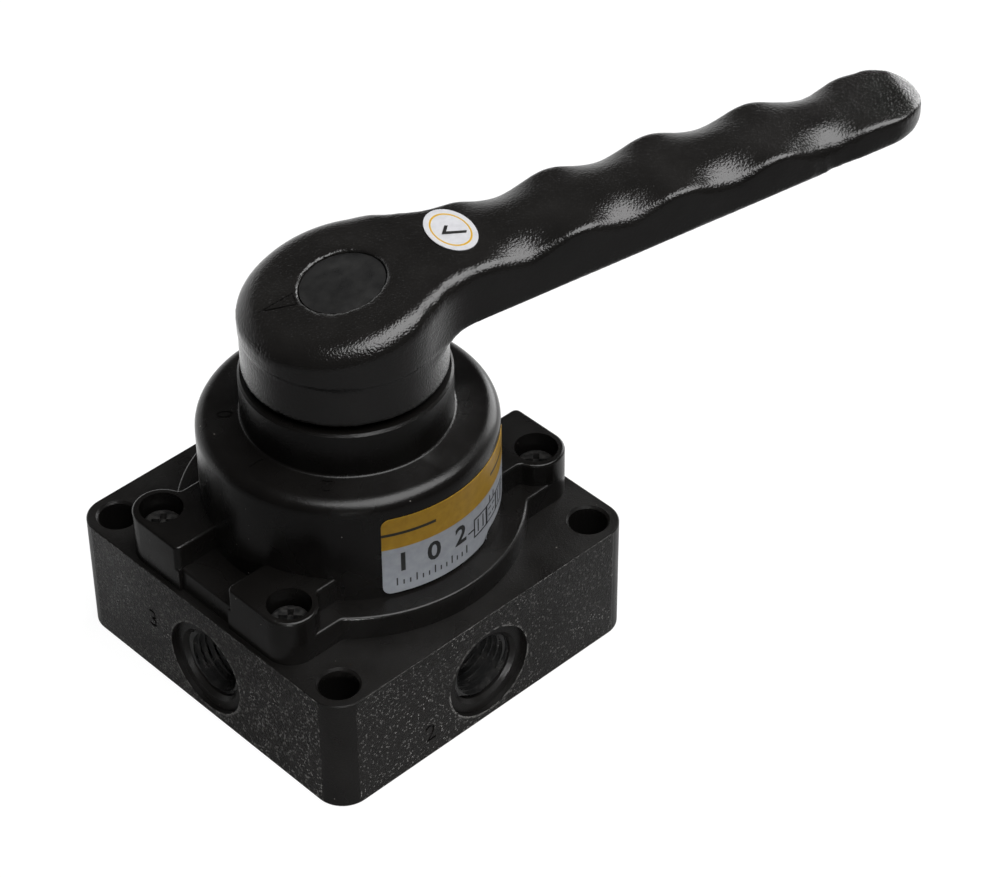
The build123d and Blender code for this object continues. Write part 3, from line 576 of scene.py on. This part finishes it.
bpy.context.view_layer.objects.active = lever
bpy.ops.object.shade_smooth_by_angle(angle=math.radians(40))
bpy.ops.object.select_all(action="DESELECT")

# ---------------------------------------------------------------- lever screw and cap
# A socket screw with a flat and a spring washer clamps the lever on the stem.
# A moulded plastic cap snaps into the hub over them.

finish_nodes(("lever_screw",), black_steel)
finish_nodes(("flat_washer", "spring_washer"), steel)
cap_plastic = plain_finish("cap_plastic", (0.010, 0.010, 0.010), (0.0135, 0.0133, 0.013),
                           2.5 * MM, 0.33, 0.0, 0.01 * MM)
smooth_copy("lever_cap", "hub_cap", "rotor", cap_plastic)

# ---------------------------------------------------------------- dome label
# A printed vinyl label with rounded corners is rolled onto the dome wall.
# A yellow band with two black rules runs over a pale field with figures, a scale and a flow diagram.

LABEL_BOTTOM, LABEL_TOP = (corner.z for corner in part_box("dome_label"))
LABEL_RADIUS = 26.42 * MM
LABEL_START = math.radians(-120)
LABEL_LENGTH = math.radians(77) * LABEL_RADIUS
LABEL_HEIGHT = LABEL_TOP - LABEL_BOTTOM
LABEL_THICKNESS = 0.10 * MM
LABEL_CORNER = 1.6 * MM
NOTCH_START = 23.0 * MM
NOTCH_HEIGHT = 1.6 * MM
BEND_STEP = 0.6 * MM


def face_pick(piece, test):
    """Selects the faces of a piece whose centre passes a test."""
    bpy.ops.object.mode_set(mode="OBJECT")
    for polygon in piece.data.polygons:
        polygon.select = test(polygon.center)
    bpy.ops.object.mode_set(mode="EDIT")


def roll_on_dome(piece, radius):
    """Bends a flat piece round the dome: its x runs along the wall from the label's left end."""
    for vertex in piece.data.vertices:
        turn = LABEL_START + vertex.co.x / LABEL_RADIUS
        reach = radius + vertex.co.z
        vertex.co = (reach * math.cos(turn), reach * math.sin(turn), LABEL_BOTTOM + vertex.co.y)


def cut_columns(length):
    """Cuts a flat piece across every BEND_STEP, so that it can bend."""
    bpy.ops.object.mode_set(mode="EDIT")
    for column in range(1, int(length / BEND_STEP)):
        bpy.ops.mesh.select_all(action="SELECT")
        bpy.ops.mesh.bisect(plane_co=(column * BEND_STEP, 0, 0), plane_no=(1, 0, 0))
    bpy.ops.object.mode_set(mode="OBJECT")


def label_finish():
    """Printed film on the label's own UV map, in millimetres from its lower left corner."""
    finish, tree, shader, place = new_finish("label_print", 0.34, 0.45)
    split = tree.nodes.new("ShaderNodeSeparateXYZ")
    tree.links.new(place.outputs["UV"], split.inputs["Vector"])
    along, up_label = split.outputs["X"], split.outputs["Y"]
    mottle = noise(tree, place.outputs["Object"], 1.4 * MM, 3.0)
    band_edge, rule_height, rule_half_width = 10.0, 13.3, 0.3
    rule_gap_middle, rule_gap_half_length = 17.5, 7.4
    patch = spread(tree, mottle, 0.3, 0.7)
    # the film's own grey and yellow are darkened here to carry painted shade
    field = blend_colours(tree, patch, (0.27, 0.285, 0.31), (0.32, 0.335, 0.36))
    band = blend_colours(tree, patch, (0.30, 0.165, 0.010), (0.37, 0.21, 0.014))
    film = blend_colours(tree, spread(tree, up_label, band_edge, band_edge + 0.05), field, band)
    off_rule = calculate(tree, "ABSOLUTE", calculate(tree, "SUBTRACT", up_label, rule_height), 0)
    off_gap = calculate(tree, "ABSOLUTE", calculate(tree, "SUBTRACT", along, rule_gap_middle), 0)
    rules = calculate(tree, "MULTIPLY", calculate(tree, "LESS_THAN", off_rule, rule_half_width),
                      calculate(tree, "GREATER_THAN", off_gap, rule_gap_half_length))
    tree.links.new(blend_colours(tree, rules, film, (0.012, 0.012, 0.012)), shader.inputs["Base Color"])
    relief(tree, shader, mottle, 0.012 * MM)
    return finish


bpy.ops.mesh.primitive_plane_add(size=1.0, location=(0, 0, 0))
label = bpy.context.object
label.data.transform(Matrix.Translation((LABEL_LENGTH / 2, LABEL_HEIGHT / 2, 0))
                     @ Matrix.Diagonal((LABEL_LENGTH, LABEL_HEIGHT, 1, 1)))
bpy.ops.object.mode_set(mode="EDIT")
bpy.ops.mesh.select_all(action="SELECT")
bpy.ops.mesh.bisect(plane_co=(NOTCH_START, 0, 0), plane_no=(1, 0, 0))
bpy.ops.mesh.select_all(action="SELECT")
bpy.ops.mesh.bisect(plane_co=(0, NOTCH_HEIGHT, 0), plane_no=(0, 1, 0))
face_pick(label, lambda centre: centre.x > NOTCH_START and centre.y < NOTCH_HEIGHT)
bpy.ops.mesh.delete(type="FACE")
bpy.ops.mesh.select_all(action="SELECT")
bpy.ops.mesh.dissolve_limited(angle_limit=0.01)
bpy.ops.mesh.select_mode(type="VERT")
bpy.ops.object.mode_set(mode="OBJECT")
for vertex in label.data.vertices:
    vertex.select = min(vertex.co.x, LABEL_LENGTH - vertex.co.x) < 0.1 * MM
bpy.ops.object.mode_set(mode="EDIT")
bpy.ops.mesh.bevel(offset=LABEL_CORNER, segments=8, affect="VERTICES")
bpy.ops.object.mode_set(mode="OBJECT")
cut_columns(LABEL_LENGTH)
label_map = label.data.uv_layers[0] if label.data.uv_layers else label.data.uv_layers.new(name="print")
for loop in label.data.loops:
    corner = label.data.vertices[loop.vertex_index].co
    label_map.data[loop.index].uv = (corner.x / MM, corner.y / MM)
roll_on_dome(label, LABEL_RADIUS)
apply_modifier(label, "SOLIDIFY", thickness=LABEL_THICKNESS, offset=1.0)
dress(label, "dome_label_print", "valve", label_finish())
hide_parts("dome_label")

# plain figures, a scale of ticks and a three box flow diagram, in raised black ink
INK_THICKNESS = 0.02 * MM
TICK_FIRST, TICK_PITCH, TICK_WIDTH, TICK_LOW = 2.4, 1.2, 0.25, 1.6
BOX_FIRST, BOX_SIDE, BOX_LOW, LINE_WIDTH = 19.0, 4.2, 3.4, 0.3
ink = plain_finish("printing_ink", (0.010, 0.010, 0.010), (0.018, 0.018, 0.018),
                   0.5 * MM, 0.4, 0.0, 0.004 * MM)


def ink_bar(left, low, right, high):
    """A rectangle of ink on the flat label, in millimetres from its lower left corner."""
    bpy.ops.mesh.primitive_plane_add(size=1.0, location=(0, 0, 0))
    bar = bpy.context.object
    bar.data.transform(Matrix.Translation(((left + right) / 2 * MM, (low + high) / 2 * MM, 0))
                       @ Matrix.Diagonal(((right - left) * MM, (high - low) * MM, 1, 1)))
    return bar


marks = [plain_figures("1  0  2", 5.6 * MM, 0, Matrix.Translation((9.6 * MM, 6.5 * MM, 0)), 0.13 * MM)]
for tick in range(13):
    left = TICK_FIRST + TICK_PITCH * tick
    marks.append(ink_bar(left, TICK_LOW, left + TICK_WIDTH, 3.3 if tick % 3 == 0 else 2.6))
for box in range(3):
    left, low = BOX_FIRST + BOX_SIDE * box, BOX_LOW
    right, high = left + BOX_SIDE, low + BOX_SIDE
    marks += [ink_bar(left, low, right, low + LINE_WIDTH), ink_bar(left, high - LINE_WIDTH, right, high),
              ink_bar(left, low, left + LINE_WIDTH, high), ink_bar(right - LINE_WIDTH, low, right, high)]
    for stroke in (left + 1.3, left + 2.9):
        if box != 1:
            marks.append(ink_bar(stroke - LINE_WIDTH / 2, low + 0.7, stroke + LINE_WIDTH / 2, high - 0.7))
        else:
            marks += [ink_bar(stroke - 0.5, low + 1.2, stroke + 0.5, low + 1.2 + LINE_WIDTH),
                      ink_bar(stroke - 0.5, high - 1.2 - LINE_WIDTH, stroke + 0.5, high - 1.2)]
# lead lines to the sides and over the middle box
marks += [ink_bar(17.4, 5.3, 19.0, 5.6), ink_bar(31.6, 5.3, 33.2, 5.6),
          ink_bar(24.4, 7.6, 24.7, 9.0), ink_bar(26.0, 7.6, 26.3, 9.0)]
bpy.ops.object.select_all(action="DESELECT")
for mark in marks:
    mark.select_set(True)
bpy.context.view_layer.objects.active = marks[0]
bpy.ops.object.join()
print_marks = bpy.context.object
cut_columns(LABEL_LENGTH)
roll_on_dome(print_marks, LABEL_RADIUS + LABEL_THICKNESS + 0.01 * MM)
apply_modifier(print_marks, "SOLIDIFY", thickness=INK_THICKNESS, offset=1.0)
dress(print_marks, "dome_label_marks", "valve", ink)

# ---------------------------------------------------------------- check sticker
# A small oval of white film is stuck across the lever where the grip leaves the hub.
# It is printed with a gold ring and a plain black tick.

STICKER_TURN = math.radians(80)
STICKER_HALF_LENGTH = 6.5 * MM
STICKER_HALF_WIDTH = 3.6 * MM
STICKER_STATION = 19.9 * MM
STICKER_TILT = math.radians(-10)
TICK_LIFT = 0.18 * MM
sticker_low, sticker_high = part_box("check_sticker")
sticker_middle = (sticker_low + sticker_high) / 2


def sticker_finish():
    """White film with a thin gold ring, laid out from the middle of the sticker."""
    finish, tree, shader, place = new_finish("sticker_print", 0.3, 0.5)
    centred = tree.nodes.new("ShaderNodeMapping")
    centred.vector_type = "TEXTURE"
    centred.inputs["Location"].default_value = (sticker_middle.x, sticker_middle.y, 0)
    centred.inputs["Rotation"].default_value = (0, 0, STICKER_TURN)
    centred.inputs["Scale"].default_value = (STICKER_HALF_LENGTH, STICKER_HALF_WIDTH, 1000)
    tree.links.new(place.outputs["Object"], centred.inputs["Vector"])
    radius = tree.nodes.new("ShaderNodeVectorMath")
    radius.operation = "LENGTH"
    tree.links.new(centred.outputs["Vector"], radius.inputs[0])
    ring_share, ring_half_width = 0.76, 0.035
    from_ring = calculate(tree, "SUBTRACT", radius.outputs["Value"], ring_share)
    off_ring = calculate(tree, "ABSOLUTE", from_ring, 0)
    ring = calculate(tree, "LESS_THAN", off_ring, ring_half_width)
    mottle = noise(tree, place.outputs["Object"], 1.4 * MM, 3.0)
    # the white film is given a mid grey: its white darkened as painted shade
    paper = blend_colours(tree, spread(tree, mottle, 0.3, 0.7), (0.50, 0.50, 0.52), (0.57, 0.57, 0.59))
    tree.links.new(blend_colours(tree, ring, paper, (0.55, 0.33, 0.03)), shader.inputs["Base Color"])
    relief(tree, shader, mottle, 0.012 * MM)
    return finish


smooth_copy("check_sticker", "check_sticker_print", "rotor", sticker_finish())

# a plain tick in black ink, of a short and a long stroke, one a hair higher where they cross
strokes = []
for length, turn, along, across in ((2.0, -45, -0.7, -0.7), (4.2, 50, 1.1, 0.05)):
    stroke = ink_bar(-length / 2, -0.32, length / 2, 0.32)
    lift = 0.002 * MM * turn / 50
    stroke.data.transform(Matrix.Translation((along * MM, across * MM, lift))
                          @ Matrix.Rotation(math.radians(turn), 4, "Z"))
    strokes.append(stroke)
bpy.ops.object.select_all(action="DESELECT")
for stroke in strokes:
    stroke.select_set(True)
bpy.context.view_layer.objects.active = strokes[0]
bpy.ops.object.join()
tick_mark = bpy.context.object
apply_modifier(tick_mark, "SOLIDIFY", thickness=INK_THICKNESS, offset=1.0)
tick_place = (sticker_middle.x, sticker_middle.y, crown_height(STICKER_STATION) + TICK_LIFT)
tick_mark.data.transform(Matrix.Translation(tick_place) @ REST_TURN @ Matrix.Rotation(STICKER_TILT, 4, "Y")
                         @ Matrix.Rotation(math.radians(-75), 4, "Z"))
dress(tick_mark, "check_sticker_mark", "rotor", ink)

# ---------------------------------------------------------------- studio
# The floor and the wall behind the valve show white to the camera, and the floor keeps a soft shadow.
# Two soft lamps light the valve from above and from the right, and a narrow one its front corner.

FLOOR_REACH = 4.0
TOWARD_WALL = (0.689, 0.7245, 0)
FLOOR_WHITE = 0.92
WALL_WHITE = 0.95
ROOM_GREY = 0.035


def away_from_front(tree, where):
    """How far a place or direction lies toward the studio's white back wall."""
    toward = tree.nodes.new("ShaderNodeVectorMath")
    toward.operation = "DOT_PRODUCT"
    toward.inputs[1].default_value = TOWARD_WALL
    tree.links.new(where, toward.inputs[0])
    return toward.outputs["Value"]


def floor_finish():
    """Mid grey to the lamps; white to the camera, and to reflections on the side of the wall."""
    finish, tree, shader, place = new_finish("studio_floor", 0.9, 0.1)
    shader.inputs["Base Color"].default_value = (0.12, 0.12, 0.12, 1.0)
    path = tree.nodes.new("ShaderNodeLightPath")
    glow = tree.nodes.new("ShaderNodeEmission")
    glow.inputs["Color"].default_value = (1, 1, 1, 1)
    behind = spread(tree, away_from_front(tree, place.outputs["Object"]), -0.02, 0.05, 0.04, WALL_WHITE)
    mirrored = calculate(tree, "MULTIPLY", path.outputs["Is Glossy Ray"], behind)
    seen = calculate(tree, "MAXIMUM", path.outputs["Is Camera Ray"], mirrored)
    tree.links.new(calculate(tree, "MULTIPLY", seen, FLOOR_WHITE), glow.inputs["Strength"])
    both = tree.nodes.new("ShaderNodeAddShader")
    output = [n for n in tree.nodes if n.type == "OUTPUT_MATERIAL"][0]
    tree.links.new(shader.outputs["BSDF"], both.inputs[0])
    tree.links.new(glow.outputs["Emission"], both.inputs[1])
    tree.links.new(both.outputs["Shader"], output.inputs["Surface"])
    return finish


bpy.ops.mesh.primitive_plane_add(size=2 * FLOOR_REACH, location=(0, 0, -0.05 * MM))
floor = bpy.context.object
floor.name = "studio_floor"
floor.data.materials.append(floor_finish())

world = bpy.data.worlds.new("studio")
bpy.context.scene.world = world
world.use_nodes = True
tree = world.node_tree
background = [n for n in tree.nodes if n.type == "BACKGROUND"][0]
path = tree.nodes.new("ShaderNodeLightPath")
background.inputs["Color"].default_value = (1, 1, 1, 1)
direction = tree.nodes.new("ShaderNodeTexCoord")
height = tree.nodes.new("ShaderNodeSeparateXYZ")
tree.links.new(direction.outputs["Generated"], height.inputs["Vector"])
low = spread(tree, height.outputs["Z"], 0.15, 0.45, 1.0, 0.0)
back_wall = spread(tree, away_from_front(tree, direction.outputs["Generated"]), 0.1, 0.7)
wall = spread(tree, calculate(tree, "MULTIPLY", low, back_wall), 0, 1, ROOM_GREY, WALL_WHITE)
shown = calculate(tree, "MAXIMUM", path.outputs["Is Camera Ray"], wall)
tree.links.new(shown, background.inputs["Strength"])


def soft_lamp(name, place, aim, width, height, power):
    """A rectangular lamp that faces a point."""
    lamp = bpy.data.lights.new(name, "AREA")
    lamp.shape = "RECTANGLE"
    lamp.size = width
    lamp.size_y = height
    lamp.energy = power
    lamp_object = bpy.data.objects.new(name, lamp)
    bpy.context.scene.collection.objects.link(lamp_object)
    lamp_object.location = place
    lamp_object.rotation_euler = (Vector(aim) - Vector(place)).to_track_quat("-Z", "Y").to_euler()


soft_lamp("overhead", (0.05, -0.18, 0.58), (0, 0, 0.04), 0.62, 0.46, 5.4)
soft_lamp("right_strip", (0.55, 0.08, 0.24), (0, 0, 0.05), 0.30, 0.40, 1.8)
corner_spot = bpy.data.lights.new("corner_spot", "SPOT")
corner_spot.energy = 15.0
corner_spot.spot_size = math.radians(13)
corner_spot.spot_blend = 1.0
corner_spot.shadow_soft_size = 0.05
corner_lamp = bpy.data.objects.new("corner_spot", corner_spot)
bpy.context.scene.collection.objects.link(corner_lamp)
corner_lamp.location = (-0.20, -0.22, 0.045)
corner_aim = Vector((-0.030, -0.034, -0.018)) - corner_lamp.location
corner_lamp.rotation_euler = corner_aim.to_track_quat("-Z", "Y").to_euler()

bpy.context.scene.view_settings.view_transform = "Standard"

# ---------------------------------------------------------------- camera
# A long lens looks down on the front corner of the body from about 0.6 m away.

AZIMUTH = math.radians(-43.57)
ELEVATION = math.radians(40.49)
ROLL = math.radians(-0.36)
AWAY, ASIDE, ABOVE = 0.588037, 0.026026, 0.032356
back = Vector((math.sin(AZIMUTH) * math.cos(ELEVATION), -math.cos(AZIMUTH) * math.cos(ELEVATION),
               math.sin(ELEVATION)))
level = Vector((math.cos(AZIMUTH), math.sin(AZIMUTH), 0))
upward = back.cross(level)
right = math.cos(ROLL) * level + math.sin(ROLL) * upward
up = math.cos(ROLL) * upward - math.sin(ROLL) * level
camera_data = bpy.data.cameras.new("camera")
camera_data.sensor_width = 36.0
camera_data.lens = 116.27
camera_data.clip_start = 0.01
camera_data.clip_end = 20.0
camera = bpy.data.objects.new("camera", camera_data)
bpy.context.scene.collection.objects.link(camera)
spot = AWAY * back + ASIDE * right + ABOVE * up
camera.matrix_world = Matrix((
    (right.x, up.x, back.x, spot.x),
    (right.y, up.y, back.y, spot.y),
    (right.z, up.z, back.z, spot.z),
    (0, 0, 0, 1),
))
bpy.context.scene.camera = camera
